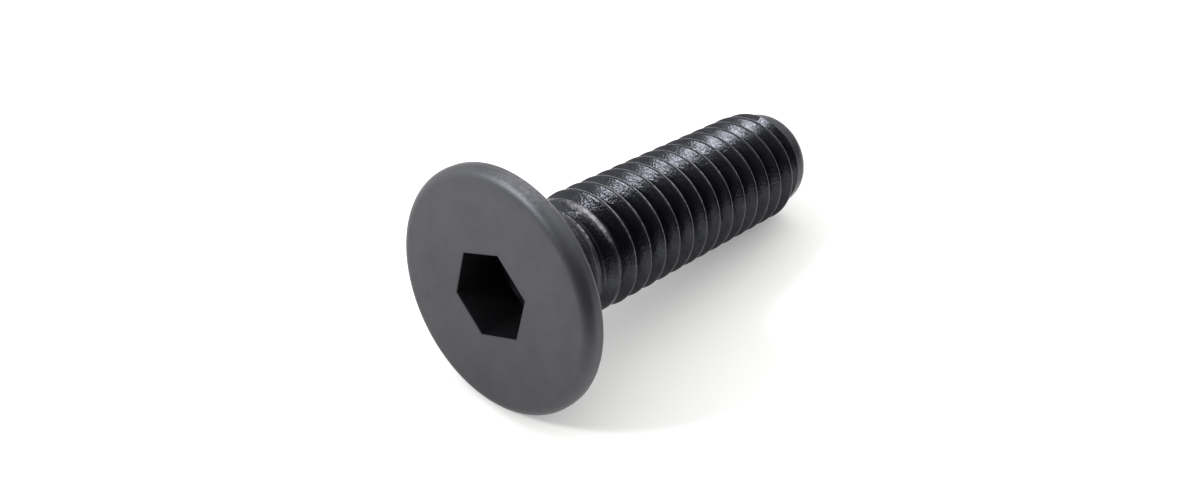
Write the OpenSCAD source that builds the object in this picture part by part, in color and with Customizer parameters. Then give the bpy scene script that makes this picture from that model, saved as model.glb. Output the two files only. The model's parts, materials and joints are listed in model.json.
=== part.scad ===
// Countersunk machine screw with a hexagon socket and a full-length rolled thread.
// Millimetres, +Z up. The screw lies on a flat surface at z = 0, as it comes to rest:
// on the rim of its head and on the thread's last full crest. Its tip points along +X.

/* [Head] */
// Diameter across the head's rim
head_d = 7.64; // [7.5:0.01:8]
// Height of the straight rim, from the flat face to the start of the cone
rim_h = 0.56; // [0.42:0.02:0.7]
// Radius of the rounding between the flat face and the rim
face_round = 0.35; // [0.1:0.05:0.4]
// Radius of the rounding between the rim and the cone
cone_round = 0.15; // [0.05:0.05:0.15]
// Full angle of the cone that seats in the countersink
cone_angle = 90; // [82, 90]
// Radius of the fillet where the cone runs into the neck
neck_fillet = 0.25; // [0.1:0.05:0.3]

/* [Socket] */
// Width of the hexagon socket across its flats
socket_flats = 2.52; // [2:0.02:2.58]
// Depth of the socket's flat walls
socket_depth = 1.8; // [1.4:0.1:2]
// Full angle of the hollow cone at the socket's bottom
socket_point_angle = 120; // [110:5:160]
// Turn of the socket about the screw's axis
socket_turn = 8; // [0:1:59]

/* [Shank] */
// Length over all, from the flat face to the tip's end
screw_length = 14; // [10:0.5:30]
// Diameter of the plain neck, which is that of the blank before its thread is rolled
neck_d = 3.46; // [3.42:0.02:3.56]
// Length of the plain neck, from the end of the cone to the start of the thread
neck_length = 0.05; // [0.05:0.05:1]

/* [Thread] */
// Diameter over the thread's crests
crest_d = 3.9; // [3.84:0.01:4]
// Distance from one crest to the next
pitch = 0.7; // [0.5:0.05:0.8]
// Full angle between a groove's two flanks
flank_angle = 60; // [55:1:65]
// Length over which the crests rise out of the neck to their full height
crest_run_in = 1.2; // [0.4:0.1:2]
// Length over which the grooves sink into the neck to their full depth
groove_run_in = 0.4; // [0.2:0.1:1]
// Turn of the thread about the screw's axis
thread_turn = 301; // [0:1:359]

/* [Tip] */
// Diameter of the plain land at the tip
tip_d = 3.4; // [3.1:0.05:3.6]
// Length of the plain land, from the thread to the rounding at the tip's end
tip_land = 0.25; // [0.15:0.05:0.6]
// Radius of the rounding at the tip's end
tip_round = 0.4; // [0.1:0.05:0.6]
// Length over which the thread runs out into the tip's land
run_out = 0.5; // [0.3:0.1:1]

/* [Smoothness] */
// Straight steps in one turn of the thread
steps = 48; // [24:4:48]

/* [Hidden] */
$fn = 96;
overlap = 0.05; // how far one solid reaches into the next where they are joined
seam = 0.005;   // how far the thread's core stays inside the neck's and the tip's surface
socket_sides = 6;

// Head and neck
head_r = head_d / 2;
neck_r = neck_d / 2;
cone_half = cone_angle / 2;
cone_end = rim_h + (head_r - neck_r) / tan(cone_half);
fillet_tangent = neck_fillet * tan(cone_half / 2);
round_tangent = cone_round * tan(cone_half / 2);
neck_end = cone_end + fillet_tangent + neck_length;

// Thread profile over one pitch, from the middle of a crest: flat crests an eighth of
// the pitch wide and round roots whose radius is a sixth of the sharp profile's height
crest_r = crest_d / 2;
flank = flank_angle / 2;
crest_half = pitch / 16;
sharp_height = pitch / 2 / tan(flank);
root_round = sharp_height / 6;
root_half = root_round * cos(flank);
flank_depth = (pitch / 2 - root_half - crest_half) / tan(flank);
root_r = crest_r - flank_depth - root_round * (1 - sin(flank));
profile = [
    [-crest_half, crest_r],
    [crest_half, crest_r],
    [pitch / 2 - root_half, crest_r - flank_depth],
    [pitch / 2, root_r],
    [pitch / 2 + root_half, crest_r - flank_depth]
];
strands = len(profile);

// Thread grid: each strand is one profile point swept along the helix, one pitch a turn
neck_core_r = neck_r - seam;
core_start = neck_end - neck_length - overlap;
thread_start = neck_end + overlap;
tip_r = tip_d / 2;
tip_core_r = tip_r - seam;
tip_start = screw_length - tip_round - tip_land;
thread_end = tip_start - overlap;
core_end = tip_start + overlap;
turns = ceil((screw_length - thread_start) / pitch) + 3;
strand_count = turns * strands;
first_crest = thread_start - 2 * pitch;

// Rest pose: the screw touches the surface with the rounding behind its rim and with an
// edge of the crest on its underside that lets it lie at the smallest angle
under_crest = first_crest - pitch * thread_turn / 360;
round_z = rim_h - round_tangent;
round_r = head_r - cone_round;
lie_angle = min([
    for (turn = [0 : turns], edge = [-crest_half, crest_half])
        let (z = under_crest + turn * pitch + edge)
            if (z > thread_start && z < thread_end) rest_angle(z, highest_r(z))
]);
axis_height = round_z * sin(lie_angle) + round_r * cos(lie_angle) + cone_round;

// The box about the lying screw is centred on X = 0
face_edge_r = head_r - face_round;
tip_round_z = screw_length - tip_round;
tip_face_r = tip_r - tip_round;
low_x = face_round * cos(lie_angle) - face_edge_r * sin(lie_angle) - face_round;
high_x = tip_round_z * cos(lie_angle) + tip_face_r * sin(lie_angle) + tip_round;
middle_x = (low_x + high_x) / 2;

function between(v, low, high) = min(max(v, low), high);

// Height of a strand at a step of its turn, before it is cut off at either end
function strand_z(strand, step) =
    first_crest + floor(strand / strands) * pitch + profile[strand % strands][0]
    + pitch * step / steps;

// How full the thread is at a distance from its start or end, from 0 to 1
function fullness(distance, length) = sin(90 * between(distance / length, 0, 1));

// Highest and lowest radius of the thread at height z: both meet at the core's radius
// where the thread starts and ends
function highest_r(z) = min(
    neck_core_r + (crest_r - neck_core_r) * fullness(z - thread_start, crest_run_in),
    tip_core_r + (crest_r - tip_core_r) * fullness(thread_end - z, run_out)
);
function lowest_r(z) = max(
    neck_core_r + (root_r - neck_core_r) * fullness(z - thread_start, groove_run_in),
    tip_core_r + (root_r - tip_core_r) * fullness(thread_end - z, run_out)
);

function thread_r(strand, z) =
    between(profile[strand % strands][1], lowest_r(z), highest_r(z));

// Angle at which the screw lies on its rim and on a thread point of radius r at height z
function rest_angle(z, r) =
    atan((round_r - r) / (z - round_z)) + asin(cone_round / norm([z - round_z, round_r - r]));

function on_helix(step, r, z) =
    [r * cos(360 * step / steps), r * sin(360 * step / steps), z];

function ring(r, z) = [for (step = [0 : steps - 1]) on_helix(step, r, z)];

// Number of the point where a strand stands at a step. The rings come first: the
// core's start, the thread's start, the thread's end and the core's end. A strand cut
// off at either end shares the point of that end's ring. The last step of a turn is the
// first of the next turn's strand.
function point_number(strand, step) =
    step == steps ? point_number(strand + strands, 0)
    : strand_z(strand, step) <= thread_start ? steps + step
    : strand >= strand_count || strand_z(strand, step) >= thread_end ? 2 * steps + step
    : (4 + strand) * steps + step;

// The two triangles of a grid cell, without those that the ends have closed up
function cell(a, b, c, d) = [
    for (t = [[a, b, c], [a, c, d]])
        if (t[0] != t[1] && t[1] != t[2] && t[2] != t[0]) t
];

// The side between two of the rings
function band(lower, upper) = [
    for (step = [0 : steps - 1])
        let (next = (step + 1) % steps)
            each cell(
                lower * steps + step, upper * steps + step,
                upper * steps + next, lower * steps + next
            )
];

// Threaded core, from inside the neck to inside the tip
module threaded_core() {
    grid = [
        for (strand = [0 : strand_count - 1], step = [0 : steps - 1])
            let (z = between(strand_z(strand, step), thread_start, thread_end))
                on_helix(step, thread_r(strand, z), z)
    ];
    thread_side = [
        for (strand = [0 : strand_count - 1], step = [0 : steps - 1])
            each cell(
                point_number(strand, step), point_number(strand + 1, step),
                point_number(strand + 1, step + 1), point_number(strand, step + 1)
            )
    ];
    rotate(thread_turn)
        polyhedron(
            points = concat(
                ring(neck_core_r, core_start), ring(neck_core_r, thread_start),
                ring(tip_core_r, thread_end), ring(tip_core_r, core_end), grid
            ),
            faces = concat(
                [[for (step = [0 : steps - 1]) step]],
                band(0, 1),
                thread_side,
                band(2, 3),
                [[for (step = [steps - 1 : -1 : 0]) 3 * steps + step]]
            )
        );
}

// Sector of a round corner: its centre, the two points where it meets the sides, and
// the sharp corner that it replaces
module corner(centre, radius, from, sharp, to) {
    intersection() {
        translate(centre) circle(radius);
        polygon([centre, from, sharp, to]);
    }
}

// Half section of the head and neck: X is the radius, Y the distance from the face
module head_section() {
    face_edge = [face_edge_r, 0];
    rim_front = [head_r, face_round];
    rim_back = [head_r, round_z];
    cone_front = [head_r - round_tangent * sin(cone_half),
        rim_h + round_tangent * cos(cone_half)];
    cone_back = [neck_r + fillet_tangent * sin(cone_half),
        cone_end - fillet_tangent * cos(cone_half)];
    neck_front = [neck_r, cone_end + fillet_tangent];
    difference() {
        union() {
            polygon([
                [0, 0], face_edge, rim_front, rim_back, cone_front, cone_back,
                neck_front, [neck_r, neck_end], [0, neck_end]
            ]);
            corner([face_edge_r, face_round], face_round, face_edge, [head_r, 0], rim_front);
            corner([round_r, round_z], cone_round, rim_back, [head_r, rim_h], cone_front);
        }
        translate(neck_front + [neck_fillet, 0]) circle(neck_fillet);
    }
}

// Head and neck, turned about the screw's axis, which runs along +Z from the flat face
module turned_head() {
    rotate_extrude() head_section();
}

// Tip, turned about the same axis: a plain land with a rounded edge about its flat end
module turned_tip() {
    land_start = [tip_r, tip_start];
    land_end = [tip_r, tip_round_z];
    face_edge = [tip_face_r, screw_length];
    rotate_extrude() {
        polygon([[0, tip_start], land_start, land_end, face_edge, [0, screw_length]]);
        corner([tip_face_r, tip_round_z], tip_round, land_end, [tip_r, screw_length], face_edge);
    }
}

// Hexagon socket: flat walls and a hollow cone at the bottom
module socket_cut() {
    point_h = socket_flats / 2 / tan(socket_point_angle / 2);
    rotate(socket_turn) {
        translate([0, 0, -overlap])
            cylinder(h = socket_depth + overlap,
                d = socket_flats / cos(180 / socket_sides), $fn = socket_sides);
        translate([0, 0, socket_depth])
            cylinder(h = point_h, d1 = socket_flats, d2 = 0);
    }
}

module screw() {
    color("dimgray")
        translate([-middle_x, 0, axis_height])
            rotate([0, 90 + lie_angle, 0])
                difference() {
                    union() {
                        turned_head();
                        threaded_core();
                        turned_tip();
                    }
                    socket_cut();
                }
}

screw();
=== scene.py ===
"""Looks of the countersunk screw: a finely cut copy of its solid in black-oxide steel."""
import json
import math

import bpy
from mathutils import Matrix, Vector


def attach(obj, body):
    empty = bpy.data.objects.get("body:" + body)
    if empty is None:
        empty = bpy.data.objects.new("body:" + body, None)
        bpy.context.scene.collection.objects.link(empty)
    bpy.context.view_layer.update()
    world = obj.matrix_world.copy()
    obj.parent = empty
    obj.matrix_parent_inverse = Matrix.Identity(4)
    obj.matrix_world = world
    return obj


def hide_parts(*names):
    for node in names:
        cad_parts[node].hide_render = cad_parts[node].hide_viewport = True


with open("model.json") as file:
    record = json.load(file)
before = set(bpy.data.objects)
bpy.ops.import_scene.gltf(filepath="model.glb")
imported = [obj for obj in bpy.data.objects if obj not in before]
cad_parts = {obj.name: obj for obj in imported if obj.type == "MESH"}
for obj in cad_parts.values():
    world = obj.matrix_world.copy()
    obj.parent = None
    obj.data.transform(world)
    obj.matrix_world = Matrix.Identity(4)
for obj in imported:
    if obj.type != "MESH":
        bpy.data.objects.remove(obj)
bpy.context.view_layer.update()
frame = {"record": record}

# ---------------------------------------------------------------- sizes, millimetres
MM = 0.001

mounts = {mount["name"]: mount for mount in frame["record"]["mounts"]}

HEAD_R = mounts["cone_seat"]["dims"]["r_mm"]
CREST_R = mounts["thread"]["dims"]["r_mm"]
SOCKET_DEPTH = mounts["hex_socket"]["dims"]["length_mm"]
FACE_MIDDLE = Vector(mounts["hex_socket"]["pos_m"])
TIP_MIDDLE = Vector(mounts["thread"]["pos_m"])
SCREW_LENGTH = (TIP_MIDDLE - FACE_MIDDLE).length / MM

RIM_H = 0.56            # straight rim, from the flat face to the start of the cone
FACE_ROUND = 0.35       # rounding between the flat face and the rim
CONE_ROUND = 0.15       # rounding between the rim and the cone
CONE_HALF = math.radians(45)
NECK_R = 1.73
NECK_FILLET = 0.25
NECK_LENGTH = 0.05
JOINT_STEP = 0.05       # the thread starts so far past the neck and ends so far from the land

SOCKET_FLATS = 2.52
SOCKET_TURN = 8.0       # degrees about the screw's axis
SOCKET_POINT_HALF = math.radians(60)
MOUTH_BEVEL = 0.02

PITCH = 0.7
FLANK = math.radians(30)
CREST_RUN_IN = 1.2      # the crests rise out of the neck over this length
GROOVE_RUN_IN = 0.4     # the grooves sink into the neck over this length
THREAD_TURN = 301.0     # degrees about the screw's axis
CREST_ROUND = 0.07      # rounding over a crest, nearly from flank to flank
BLEND = 0.08            # softness of the corners where the thread runs in and out

TIP_R = 1.7
TIP_LAND = 0.25
TIP_ROUND = 0.4
RUN_OUT = 0.5           # the thread runs out into the tip's land over this length

# ---------------------------------------------------------------- where the skin changes
CREST_WEAR_AND_HIGHLIGHT = 0.6        # wear and painted highlight on the middle of a crest
SHOULDER_WEAR_AND_HIGHLIGHT = (0.55, 0.20, 0.0, 0.0)  # and round its shoulder, down to the flank
LEAST_WEAR_AND_HIGHLIGHT = 0.4        # share of the wear and painted highlight that is left on the crests' other side
WEAR_AND_HIGHLIGHT_FADE = 6.0         # the wear and painted highlight on the crests fade over this length before the tip
CUT_WEAR_AND_HIGHLIGHT = 0.03         # depth of the wear and painted highlight on the first crests, where they are cut off
NECK_WEAR_AND_HIGHLIGHT = 0.4         # wear and painted highlight on the neck, on the side where they are strongest
NECK_SIDE = 205         # side on which the neck and the crests carry the most wear and painted highlight, degrees
WEAR_AND_HIGHLIGHT_POWER = 4           # how fast the wear and painted highlight fall off round the axis
CUT_POWER = 0.5         # how fast the wear and painted highlight of the first crests fall off along it
RIM_WEAR_AND_HIGHLIGHT = 0.62         # wear and painted highlight on the head's rim, on the side where they are strongest
RIM_SIDE = 188          # side on which the rim carries the most wear and painted highlight, degrees
RIM_WEAR_AND_HIGHLIGHT_INSET = 0.20         # the rim's wear and painted highlight start this far inside the rim
RIM_FADE = 0.1          # and are full this much further out
EDGE_WIDTH = 0.2        # the face's rounding turns smooth over this width
ROLLED_START = 0.45     # the matt skin of the head turns into the glossier one of the
ROLLED_FULL = 0.85      # rolled shank between these distances from the face
SOCKET_GLOSS_AND_SHADE = 0.4      # how much of the shank's gloss and darker colour the skin in the socket has: a glossier finish, and painted shade in the recess

# ---------------------------------------------------------------- mesh
SOCKET_SIDES = 6
STEPS = 192             # points round the axis, a multiple of the socket's sides
FACE_ROUND_CUTS = 14
CONE_ROUND_CUTS = 8
FILLET_CUTS = 8
CONE_CUTS = 8
TIP_ROUND_CUTS = 10
ROOT_CUTS = 3
SOCKET_CONE_RINGS = (0.05, 0.3, 0.6, 0.99)      # as shares of the cone's radius
SOCKET_WALL_RINGS = (1.0, 0.5)                  # of the socket's depth
FACE_RINGS = (0.15, 0.35, 0.55, 0.75, 0.9)      # of the way from the mouth to the rounding
FLANK_ROWS = (0.12, 0.9)                        # of the way down a flank
TIP_FACE_RINGS = (0.6, 0.2)                     # of the flat tip's radius
SPARE_TURNS = 5         # turns of thread beyond its length, so that it spans both ends
SHARP_ANGLE = math.radians(35)
TINY = 1e-6


# ---------------------------------------------------------------- outline of the head
def ramp(value, start, end):
    """How far a value has come from start to end, from 0 to 1."""
    return min(max((value - start) / (end - start), 0), 1)


def arc(centre, radius, start, end, count):
    """Points (radius, height) on an arc; an angle of 0 points to the face, 90 outwards."""
    points = []
    for i in range(count + 1):
        t = math.radians(start + (end - start) * i / count)
        points.append((centre[0] + radius * math.sin(t), centre[1] - radius * math.cos(t)))
    return points


def head_outline():
    """From the edge of the flat face to the end of the neck."""
    half = math.degrees(CONE_HALF)
    round_z = RIM_H - CONE_ROUND * math.tan(CONE_HALF / 2)
    cone_end = RIM_H + (HEAD_R - NECK_R) / math.tan(CONE_HALF)
    neck_front = cone_end + NECK_FILLET * math.tan(CONE_HALF / 2)
    points = arc((HEAD_R - FACE_ROUND, FACE_ROUND), FACE_ROUND, 0, 90, FACE_ROUND_CUTS)
    points += arc((HEAD_R - CONE_ROUND, round_z), CONE_ROUND, 90, 90 + half, CONE_ROUND_CUTS)
    fillet_centre = (NECK_R + NECK_FILLET, neck_front)
    fillet = arc(fillet_centre, -NECK_FILLET, 90 + half, 90, FILLET_CUTS)
    first, last = points[-1], fillet[0]
    for i in range(1, CONE_CUTS):
        points.append(tuple(a + (b - a) * i / CONE_CUTS for a, b in zip(first, last)))
    points += fillet
    points.append((NECK_R, neck_front + NECK_LENGTH + JOINT_STEP))
    return points


# ---------------------------------------------------------------- thread
def thread_profile():
    """One pitch from the middle of a crest, as (offset along the axis, radius, wear and
    painted highlight).
    """
    crest_half = PITCH / 16
    root_round = PITCH / 2 / math.tan(FLANK) / 6
    root_half = root_round * math.cos(FLANK)
    flank_depth = (PITCH / 2 - root_half - crest_half) / math.tan(FLANK)
    root_r = CREST_R - flank_depth - root_round * (1 - math.sin(FLANK))
    slope = 90 - math.degrees(FLANK)
    tangent = CREST_ROUND * math.tan(math.radians(slope / 2))
    half = [(0.0, CREST_R, CREST_WEAR_AND_HIGHLIGHT)]
    for i, wear in enumerate(SHOULDER_WEAR_AND_HIGHLIGHT):
        t = math.radians(slope * i / (len(SHOULDER_WEAR_AND_HIGHLIGHT) - 1))
        half.append((crest_half - tangent + CREST_ROUND * math.sin(t),
                     CREST_R - CREST_ROUND * (1 - math.cos(t)), wear))
    top = half[-1]
    bottom = (PITCH / 2 - root_half, root_r + root_round * (1 - math.sin(FLANK)), 0.0)
    for share in FLANK_ROWS:
        half.append(tuple(a + (b - a) * share for a, b in zip(top[:2], bottom[:2])) + (0.0,))
    for i in range(ROOT_CUTS):
        t = math.radians(slope * (ROOT_CUTS - i) / ROOT_CUTS)
        half.append((PITCH / 2 - root_round * math.sin(t),
                     root_r + root_round * (1 - math.cos(t)), 0.0))
    middle = [(PITCH / 2, root_r, 0.0)]
    back = [(PITCH - u, r, w) for u, r, w in reversed(half[1:])]
    return half + middle + back, root_r


def soft_min(a, b, blend):
    """The smaller of two radii, with the corner between them rounded off."""
    gap = max(blend - abs(a - b), 0.0) / blend
    return min(a, b) - gap * gap * blend / 4


def soft_max(a, b, blend):
    """The larger of two radii, with the corner between them rounded off."""
    return -soft_min(-a, -b, blend)


def fullness(distance, length):
    """How full the thread is at a distance from its start or end, from 0 to 1."""
    return math.sin(math.pi / 2 * ramp(distance, 0, length))


def side_of_wear_and_highlight(step, side):
    """How much wear and painted highlight a point round the axis shows if this side has the
    most of them, from 0 to 1.
    """
    turn = math.radians(SOCKET_TURN + 360 * step / STEPS - side)
    return max(math.cos(turn), 0) ** WEAR_AND_HIGHLIGHT_POWER


class Skin:
    """A closed mesh that grows ring by ring; a ring has STEPS points, each with its wear and
    painted highlight.
    """

    def __init__(self):
        self.points, self.wear, self.faces = [], [], []

    def point(self, x, y, z, wear=0.0):
        self.points.append((x, y, z))
        self.wear.append(wear)
        return len(self.points) - 1

    def at(self, step, radius, z, wear=0.0):
        t = math.radians(SOCKET_TURN + 360 * step / STEPS)
        return self.point(radius * math.cos(t), radius * math.sin(t), z, wear)

    def ring(self, radius, z):
        """A ring of one radius, or of a radius that depends on the step."""
        of = radius if callable(radius) else (lambda step: radius)
        return [self.at(step, of(step), z) for step in range(STEPS)]

    def face(self, *corners):
        """A face without the corners that fall together, if an area is left."""
        kept = [c for i, c in enumerate(corners) if c != corners[i - 1]]
        if len(kept) > 2:
            self.faces.append(kept)

    def strip(self, near, far):
        """Faces from one ring to the next."""
        for i in range(STEPS):
            j = (i + 1) % STEPS
            self.face(near[i], near[j], far[j], far[i])

    def strips(self, rings):
        for near, far in zip(rings, rings[1:]):
            self.strip(near, far)

    def fan(self, centre, ring, opens):
        """Faces from a point to a ring; the point opens the skin or closes it."""
        for i in range(STEPS):
            j = (i + 1) % STEPS
            self.face(*((centre, ring[j], ring[i]) if opens else (ring[i], ring[j], centre)))


def hexagon(flats):
    """Radius of a hexagon at each step; its corners stand on every sixth of the steps."""
    side = STEPS // SOCKET_SIDES
    angle = 360 / SOCKET_SIDES

    def radius(step):
        return flats / 2 / math.cos(math.radians(angle * (step % side) / side - angle / 2))
    return radius


def add_socket(skin):
    """The socket from the bottom of its hollow cone up to its mouth in the face."""
    point_h = SOCKET_FLATS / 2 / math.tan(SOCKET_POINT_HALF)
    apex = skin.point(0, 0, SOCKET_DEPTH + point_h)
    cone = [skin.ring(SOCKET_FLATS / 2 * share, SOCKET_DEPTH + point_h * (1 - share))
            for share in SOCKET_CONE_RINGS]
    wall = hexagon(SOCKET_FLATS)
    walls = [skin.ring(wall, SOCKET_DEPTH * share) for share in SOCKET_WALL_RINGS]
    walls.append(skin.ring(wall, MOUTH_BEVEL))
    mouth = skin.ring(hexagon(SOCKET_FLATS + 2 * MOUTH_BEVEL), 0)
    skin.fan(apex, cone[0], opens=True)
    skin.strips(cone + walls + [mouth])
    return mouth


def add_head(skin, mouth):
    """The flat face, from the socket's mouth outwards, then the rim, cone and neck."""
    outline = head_outline()
    inner, outer = hexagon(SOCKET_FLATS + 2 * MOUTH_BEVEL), outline[0][0]
    face = [mouth]
    for share in FACE_RINGS:
        face.append(skin.ring(lambda step: inner(step) + (outer - inner(step)) * share, 0))
    turned = [skin.ring(r, z) for r, z in outline]
    # wear and painted highlight on the rim's upper side
    wear_and_highlight_from = HEAD_R - RIM_WEAR_AND_HIGHLIGHT_INSET
    for ring, (r, _) in zip(turned, outline):
        at_rim = ramp(r, wear_and_highlight_from, wear_and_highlight_from + RIM_FADE)
        for step, corner in enumerate(ring):
            skin.wear[corner] = RIM_WEAR_AND_HIGHLIGHT * at_rim * side_of_wear_and_highlight(step, RIM_SIDE)
    for ring in turned[-2:]:
        # wear and painted highlight on the neck's upper side
        for step, corner in enumerate(ring):
            skin.wear[corner] = NECK_WEAR_AND_HIGHLIGHT * side_of_wear_and_highlight(step, NECK_SIDE)
    skin.strips(face + turned)
    return turned[-1], outline[-1][1]


def add_thread(skin, start_ring, start_z):
    """The thread as strands along the helix, cut off at the neck and at the tip's land."""
    profile, root_r = thread_profile()
    end_z = SCREW_LENGTH - TIP_ROUND - TIP_LAND - JOINT_STEP
    end_ring = skin.ring(TIP_R, end_z)
    first_crest = start_z - 3 * PITCH + PITCH * (SOCKET_TURN - THREAD_TURN) / 360
    turns = math.ceil((SCREW_LENGTH - start_z) / PITCH) + SPARE_TURNS
    count = turns * len(profile)

    def height(strand, step):
        turn, i = divmod(strand, len(profile))
        return first_crest + PITCH * (turn + step / STEPS) + profile[i][0]

    def place(strand, step, z):
        rise = fullness(z - start_z, CREST_RUN_IN)
        sink = fullness(z - start_z, GROOVE_RUN_IN)
        fall = fullness(end_z - z, RUN_OUT)
        highest = min(NECK_R + (CREST_R - NECK_R) * rise, TIP_R + (CREST_R - TIP_R) * fall)
        lowest = max(NECK_R + (root_r - NECK_R) * sink, TIP_R + (root_r - TIP_R) * fall)
        soft = BLEND * min(sink, fall) + TINY
        soft_top = min(soft, 2 * (CREST_R - highest) + TINY)
        _, full, wear = profile[strand % len(profile)]
        radius = soft_min(soft_max(full, lowest, soft), highest, soft_top)
        # the crests' wear and painted highlight, strongest on their upper side
        cut_off = (1 - rise) ** CUT_POWER * ramp(highest - radius, CUT_WEAR_AND_HIGHLIGHT, 0)
        rub_and_highlight = side_of_wear_and_highlight(step, NECK_SIDE)
        side = LEAST_WEAR_AND_HIGHLIGHT + (1 - LEAST_WEAR_AND_HIGHLIGHT) * rub_and_highlight
        worn_and_highlit = max(wear * rise * side, cut_off * rub_and_highlight) * fullness(end_z - z, WEAR_AND_HIGHLIGHT_FADE)
        return skin.at(step, radius, z, worn_and_highlit)

    grid = {}
    for strand in range(count):
        for step in range(STEPS):
            z = height(strand, step)
            if z <= start_z:
                grid[strand, step] = start_ring[step]
            elif z >= end_z:
                grid[strand, step] = end_ring[step]
            else:
                grid[strand, step] = place(strand, step, z)

    def corner(strand, step):
        if step == STEPS:
            return corner(strand + len(profile), 0)
        return grid.get((strand, step), end_ring[step])

    for strand in range(count):
        for step in range(STEPS):
            skin.face(corner(strand, step), corner(strand, step + 1),
                      corner(strand + 1, step + 1), corner(strand + 1, step))
    return end_ring


def add_tip(skin, end_ring):
    """The plain land, the rounded edge and the flat end of the tip."""
    round_z, face_r = SCREW_LENGTH - TIP_ROUND, TIP_R - TIP_ROUND
    outline = [(TIP_R, round_z - TIP_LAND / 2)]
    outline += arc((face_r, round_z), TIP_ROUND, 90, 180, TIP_ROUND_CUTS)
    outline += [(face_r * share, SCREW_LENGTH) for share in TIP_FACE_RINGS]
    rings = [end_ring] + [skin.ring(r, z) for r, z in outline]
    skin.strips(rings)
    skin.fan(skin.point(0, 0, SCREW_LENGTH), rings[-1], opens=False)


def own_frame():
    """Matrix from the screw's own millimetres, face at z = 0 and tip up, to the frame."""
    axis = -Vector(mounts["hex_socket"]["axis"]).normalized()
    down = Vector((0, 0, -1))
    own_x = (down - down.dot(axis) * axis).normalized()
    own_y = axis.cross(own_x)
    turn = Matrix((own_x, own_y, axis)).transposed().to_4x4()
    return Matrix.Translation(FACE_MIDDLE) @ turn @ Matrix.Scale(MM, 4)


def rolled_gloss(z):
    """How much of the rolled shank's gloss the skin has at a distance from the face."""
    return ramp(z, ROLLED_START, ROLLED_FULL)


def edge_gloss(x, y):
    """How much the skin is rubbed smooth as on the head's edge."""
    rounding_r = HEAD_R - FACE_ROUND
    return ramp(math.hypot(x, y), rounding_r, rounding_r + EDGE_WIDTH)


def make_screw():
    skin = Skin()
    mouth = add_socket(skin)
    socket_count = len(skin.points)
    neck_ring, neck_z = add_head(skin, mouth)
    add_tip(skin, add_thread(skin, neck_ring, neck_z))
    used = sorted({corner for face in skin.faces for corner in face})
    number = {old: new for new, old in enumerate(used)}
    mesh = bpy.data.meshes.new("fine_screw")
    points = [skin.points[i] for i in used]
    mesh.from_pydata(points, [], [[number[c] for c in face] for face in skin.faces])
    mesh.transform(own_frame())
    mesh.shade_smooth()
    mesh.set_sharp_from_angle(angle=SHARP_ANGLE)
    attributes = {
        "wear": [skin.wear[i] for i in used],
        # in the socket this share also darkens the colour as painted shade
        "rolled": [SOCKET_GLOSS_AND_SHADE if i < socket_count else rolled_gloss(skin.points[i][2])
                   for i in used],
        "edge": [edge_gloss(x, y) for x, y, _ in points],
    }
    for name, values in attributes.items():
        mesh.attributes.new(name, "FLOAT", "POINT").data.foreach_set("value", values)
    mesh.update()
    screw = bpy.data.objects.new("fine_screw", mesh)
    bpy.context.scene.collection.objects.link(screw)
    return screw


# ---------------------------------------------------------------- finish
BLACK = (0.0, 0.0, 0.0, 1)
WHITE = (1.0, 1.0, 1.0, 1)
MATT_DARK = (0.096, 0.098, 0.108, 1)    # the head's skin lies between these two colours
MATT_LIGHT = (0.108, 0.110, 0.120, 1)
STAIN = (0.086, 0.083, 0.092, 1)        # and has small stains
STAIN_SHARE = 0.3
PAINTED_SHADE_SHARE = 0.24       # painted shade: it is darker by this share on the underside
PAINTED_SHADE_LOW = 0.001        # up to this height above the floor, metres
PAINTED_SHADE_HIGH = 0.007       # and no darker from this height on
GLOSSY_DARK = (0.026, 0.027, 0.033, 1)  # the shank's skin lies between these two
GLOSSY_LIGHT = (0.041, 0.043, 0.050, 1)
# lighter worn steel: wear, and painted highlight on the upper side of the crests, neck and
# rim
WORN_AND_HIGHLIT_STEEL = (0.39, 0.39, 0.415, 1)
WORN_AND_HIGHLIT_SHARE = 0.75       # how much of the worn steel and painted highlight shows through at most
WEAR_AND_HIGHLIGHT_START = 0.68       # sum of the wear and painted highlight and its specks at which the steel begins to show
WEAR_AND_HIGHLIGHT_FULL = 1.08        # and at which it shows most
MATT_SPECKS = 0.3       # how much the specks break up the wear and painted highlight on the head
ROLLED_SPECKS = 0.8     # and on the shank

MOTTLE_SCALE = 700.0    # features of the noises, for each metre
BLOTCH_SCALE = 2600.0
SPECK_SCALE = 8000.0
GRAIN_SCALE = 11500.0

EVEN_SPAN = (0.35, 0.65)    # values of a noise between which the colour changes
STAIN_SPAN = (0.55, 0.75)   # between which the stains come up
ROUGH_SPAN = (0.3, 0.7)     # and between which the roughness changes

MATT_ROUGH = (0.49, 0.56)
EDGE_ROUGH = 0.46
ROLLED_ROUGH = 0.17
ROLLED_METALLIC = 0.8
MATT_GRAIN = 4e-6       # depth of the grain, metres
ROLLED_GRAIN = 1.6e-5
GRAIN_STRENGTH = 0.7

PAPER = (0.92, 0.911, 0.895, 1)
# painted shade: the pale grey the floor turns on the camera's side
PAINTED_FLOOR_SHADE = (0.39, 0.387, 0.380, 1)
FLOOR_GLOW = 0.25       # what the camera and gloss see on top of the paper's lit colour
PAINTED_FLOOR_SHADE_SIDE = -135       # azimuth of the side on which the paper gives way to the painted shade
PAINTED_FLOOR_SHADE_START = 0.009     # metres from the screw's middle to where the painted shade starts
PAINTED_FLOOR_SHADE_FULL = 0.024      # and to where the floor is all painted shade


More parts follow.
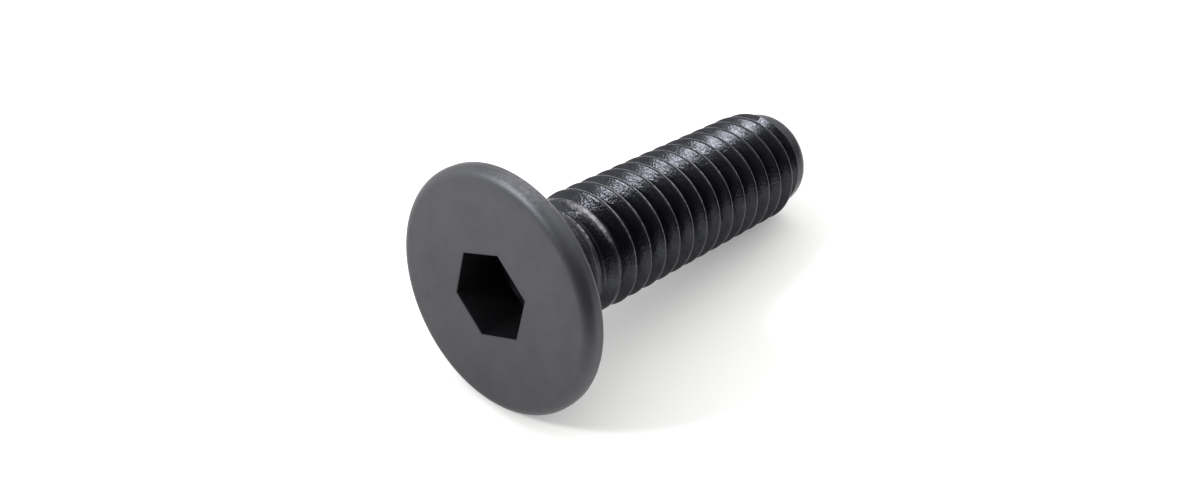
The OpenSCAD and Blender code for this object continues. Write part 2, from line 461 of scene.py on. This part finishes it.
# ---------------------------------------------------------------- materials
class Nodes:
    """Short calls for building a node tree."""

    def __init__(self, tree):
        self.tree = tree
        tree.nodes.clear()

    def add(self, kind, inputs=None, **settings):
        node = self.tree.nodes.new(kind)
        for name, value in settings.items():
            setattr(node, name, value)
        for name, value in (inputs or {}).items():
            if isinstance(value, bpy.types.NodeSocket):
                self.tree.links.new(value, node.inputs[name])
            else:
                node.inputs[name].default_value = value
        return node

    def noise(self, where, scale, detail=4.0, roughness=0.55):
        return self.add("ShaderNodeTexNoise", {
            "Vector": where, "Scale": scale, "Detail": detail, "Roughness": roughness,
        }).outputs["Fac"]

    def span(self, value, low, high, to_low, to_high):
        """A value between low and high, carried over to a span from to_low to to_high."""
        return self.add("ShaderNodeMapRange", {
            "Value": value, "From Min": low, "From Max": high,
            "To Min": to_low, "To Max": to_high,
        }).outputs["Result"]

    def smooth_span(self, value, low, high):
        """How far a value has come from low to high, from 0 to 1, with soft ends."""
        return self.add("ShaderNodeMapRange", {
            "Value": value, "From Min": low, "From Max": high,
        }, interpolation_type="SMOOTHSTEP").outputs["Result"]

    def vector(self, operation, a, b=(0, 0, 0)):
        return self.add("ShaderNodeVectorMath", {0: a, 1: b}, operation=operation).outputs[0]

    def dot(self, a, b):
        return self.add("ShaderNodeVectorMath", {0: a, 1: b},
                        operation="DOT_PRODUCT").outputs["Value"]

    def math(self, operation, a, b):
        return self.add("ShaderNodeMath", {0: a, 1: b}, operation=operation).outputs[0]

    def mix_value(self, factor, a, b):
        """Sockets 2 and 3 of a Mix node are its two numbers."""
        return self.add("ShaderNodeMix", {"Factor": factor, 2: a, 3: b},
                        data_type="FLOAT").outputs[0]

    def mix(self, factor, a, b):
        """Sockets 6 and 7 of a Mix node are its two colours, and output 2 is their mix."""
        node = self.add("ShaderNodeMix", {"Factor": factor, 6: a, 7: b}, data_type="RGBA")
        return node.outputs[2]


def black_oxide():
    """Black oxide on steel: mottled, finely grained, worn grey with painted highlight on the
    crests, neck and rim, with painted shade on the head's underside and in the socket.
    """
    material = bpy.data.materials.new("black_oxide")
    material.use_nodes = True
    n = Nodes(material.node_tree)
    where = n.add("ShaderNodeTexCoord").outputs["Object"]
    wear = n.add("ShaderNodeAttribute", attribute_name="wear").outputs["Fac"]
    rolled = n.add("ShaderNodeAttribute", attribute_name="rolled").outputs["Fac"]
    edge = n.add("ShaderNodeAttribute", attribute_name="edge").outputs["Fac"]
    height = n.add("ShaderNodeSeparateXYZ", {"Vector": where}).outputs["Z"]

    mottle = n.noise(where, MOTTLE_SCALE)
    blotch = n.noise(where, BLOTCH_SCALE, detail=6.0, roughness=0.7)
    grain = n.noise(where, GRAIN_SCALE, detail=3.0, roughness=0.6)
    specks = n.noise(where, SPECK_SCALE, detail=2.0, roughness=0.7)

    matt = n.mix(n.span(mottle, *EVEN_SPAN, 0.0, 1.0), MATT_DARK, MATT_LIGHT)
    matt = n.mix(n.span(blotch, *STAIN_SPAN, 0.0, STAIN_SHARE), matt, STAIN)
    # painted shade: the head's skin darkens towards the floor
    matt = n.mix(n.span(height, PAINTED_SHADE_LOW, PAINTED_SHADE_HIGH, PAINTED_SHADE_SHARE, 0.0), matt, BLACK)
    glossy = n.mix(n.span(blotch, *EVEN_SPAN, 0.0, 1.0), GLOSSY_DARK, GLOSSY_LIGHT)
    speckled = n.math("MULTIPLY", specks, n.mix_value(rolled, MATT_SPECKS, ROLLED_SPECKS))
    # the worn steel shows where the wear and painted highlight are
    bare_and_highlit = n.span(n.math("ADD", wear, speckled), WEAR_AND_HIGHLIGHT_START, WEAR_AND_HIGHLIGHT_FULL, 0.0, WORN_AND_HIGHLIT_SHARE)
    # the socket's share of the darker glossy colour is painted shade
    colour = n.mix(bare_and_highlit, n.mix(rolled, matt, glossy), WORN_AND_HIGHLIT_STEEL)

    rough = n.mix_value(edge, n.span(blotch, *ROUGH_SPAN, *MATT_ROUGH), EDGE_ROUGH)
    rough = n.mix_value(rolled, rough, ROLLED_ROUGH)
    depth = n.mix_value(rolled, MATT_GRAIN, ROLLED_GRAIN)
    bump = n.add("ShaderNodeBump", {
        "Height": grain, "Strength": GRAIN_STRENGTH, "Distance": depth,
    })
    shader = n.add("ShaderNodeBsdfPrincipled", {
        "Base Color": colour, "Roughness": rough,
        "Metallic": n.mix_value(rolled, 1.0, ROLLED_METALLIC),
        "Normal": bump.outputs["Normal"],
    })
    n.add("ShaderNodeOutputMaterial", {"Surface": shader.outputs["BSDF"]})
    return material


def white_floor():
    """White paper that turns pale grey on the camera's side as painted shade. Both take the
    shadow, and the camera and gloss see the paper's lit part as white."""
    material = bpy.data.materials.new("white_floor")
    material.use_nodes = True
    n = Nodes(material.node_tree)
    ray = n.add("ShaderNodeLightPath").outputs
    seen = n.math("MAXIMUM", ray["Is Camera Ray"], ray["Is Glossy Ray"])
    seen = n.math("MAXIMUM", seen, ray["Is Transmission Ray"])
    place = n.add("ShaderNodeTexCoord").outputs["Object"]
    nearer = n.dot(place, direction(PAINTED_FLOOR_SHADE_SIDE, 0))
    # paper is 1 on the white floor and 0 where the painted shade is full
    paper = n.math("SUBTRACT", 1.0, n.smooth_span(nearer, PAINTED_FLOOR_SHADE_START, PAINTED_FLOOR_SHADE_FULL))
    colour = n.mix(paper, PAINTED_FLOOR_SHADE, PAPER)
    matt = n.add("ShaderNodeBsdfDiffuse", {"Color": colour}).outputs["BSDF"]
    strength = n.math("MULTIPLY", n.math("MULTIPLY", seen, paper), FLOOR_GLOW)
    glow = n.add("ShaderNodeEmission", {"Color": WHITE, "Strength": strength})
    glow = glow.outputs["Emission"]
    both = n.add("ShaderNodeAddShader", {0: matt, 1: glow}).outputs["Shader"]
    n.add("ShaderNodeOutputMaterial", {"Surface": both})
    return material


# ---------------------------------------------------------------- studio
FLOOR_SIZE = 4.0

TENT_TOP = (65, 56)     # azimuth and elevation of the tent's brightest part
TENT_HIGH = 1.73        # its radiance there
TENT_LOW = 0.42         # and at a right angle to it
ROOM_MIDDLE = -150      # azimuth of the dark room
ROOM_INSIDE = 0.6       # cosine of the turn from its middle up to which it is fully dark
ROOM_EDGE = -0.1        # and of the turn where it ends
ROOM_TOP = 0.5          # sine of the elevation up to which it is fully dark
ROOM_CEILING = 0.8      # and of the elevation where it ends
ROOM_LEVEL = 0.125      # radiance in it
WINDOW_MIDDLE = (-35, 12)
WINDOW_EDGE = 0.4       # cosine of the angle from its middle where the window's light ends
WINDOW_LIGHT = 0.77     # radiance that it adds in its middle

KEY_SIDE = (-60, 41)    # azimuth and elevation of the lamp
KEY_DISTANCE = 0.30
KEY_SIZE = 0.048
KEY_LIGHT = 53.0        # its radiance

CAMERA_AT = Vector((-23.469, -19.241, 25.326)) * MM
CAMERA_RIGHT = Vector((0.66858, -0.74364, 0.0))
CAMERA_FORWARD = Vector((0.58475, 0.52573, -0.61780))
CAMERA_LENS = 35.09
SENSOR_WIDTH = 36.0
CLIP_NEAR = 0.001
CLIP_FAR = 20.0


def direction(azimuth, elevation):
    """Unit vector; azimuth 0 points along +Y and 90 along +X."""
    az, el = math.radians(azimuth), math.radians(elevation)
    return Vector((math.sin(az) * math.cos(el), math.cos(az) * math.cos(el), math.sin(el)))


def make_floor():
    half = FLOOR_SIZE / 2
    mesh = bpy.data.meshes.new("floor")
    mesh.from_pydata([(-half, -half, 0), (half, -half, 0), (half, half, 0), (-half, half, 0)],
                     [], [(0, 1, 2, 3)])
    floor = bpy.data.objects.new("floor", mesh)
    floor.data.materials.append(white_floor())
    bpy.context.scene.collection.objects.link(floor)


def make_key():
    """A square softbox that faces the screw; a mirror would show its radiance."""
    data = bpy.data.lights.new("key", "AREA")
    data.shape = "SQUARE"
    data.size = KEY_SIZE
    data.energy = KEY_LIGHT * math.pi * KEY_SIZE ** 2
    lamp = bpy.data.objects.new("key", data)
    towards = direction(*KEY_SIDE)
    lamp.location = towards * KEY_DISTANCE
    lamp.rotation_euler = towards.to_track_quat("Z", "Y").to_euler()
    bpy.context.scene.collection.objects.link(lamp)


def make_world():
    """A tent of soft light, brightest high up on the far side, with a soft window low on the
    left and a dark room behind the camera."""
    world = bpy.data.worlds.new("studio")
    world.use_nodes = True
    bpy.context.scene.world = world
    n = Nodes(world.node_tree)
    where = n.add("ShaderNodeTexCoord").outputs["Generated"]
    facing = n.math("MAXIMUM", n.dot(where, direction(*TENT_TOP)), 0.0)
    tent = n.span(n.math("MULTIPLY", facing, facing), 0.0, 1.0, TENT_LOW, TENT_HIGH)
    window = n.smooth_span(n.dot(where, direction(*WINDOW_MIDDLE)), WINDOW_EDGE, 1.0)
    tent = n.math("ADD", tent, n.math("MULTIPLY", window, WINDOW_LIGHT))
    level = n.vector("NORMALIZE", n.vector("MULTIPLY", where, (1, 1, 0)))
    beside = n.smooth_span(n.dot(level, direction(ROOM_MIDDLE, 0)), ROOM_EDGE, ROOM_INSIDE)
    below = n.smooth_span(n.dot(where, (0, 0, -1)), -ROOM_CEILING, -ROOM_TOP)
    room = n.math("MULTIPLY", beside, below)
    light = n.math("MULTIPLY", tent, n.math("SUBTRACT", 1.0, room))
    light = n.math("ADD", light, n.math("MULTIPLY", room, ROOM_LEVEL))
    back = n.add("ShaderNodeBackground", {"Color": WHITE, "Strength": light})
    n.add("ShaderNodeOutputWorld", {"Surface": back.outputs["Background"]})


def make_camera():
    data = bpy.data.cameras.new("camera")
    data.sensor_fit = "HORIZONTAL"
    data.sensor_width = SENSOR_WIDTH
    data.lens = CAMERA_LENS
    data.clip_start = CLIP_NEAR
    data.clip_end = CLIP_FAR
    camera = bpy.data.objects.new("camera", data)
    back = -CAMERA_FORWARD.normalized()
    right = (CAMERA_RIGHT - CAMERA_RIGHT.dot(back) * back).normalized()
    turn = Matrix((right, back.cross(right), back)).transposed().to_4x4()
    camera.matrix_world = Matrix.Translation(CAMERA_AT) @ turn
    bpy.context.scene.collection.objects.link(camera)
    bpy.context.scene.camera = camera


make_camera()
make_floor()
make_world()
make_key()
bpy.context.scene.view_settings.view_transform = "Standard"

screw = make_screw()
screw.data.materials.append(black_oxide())
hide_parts("screw")
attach(screw, "root")
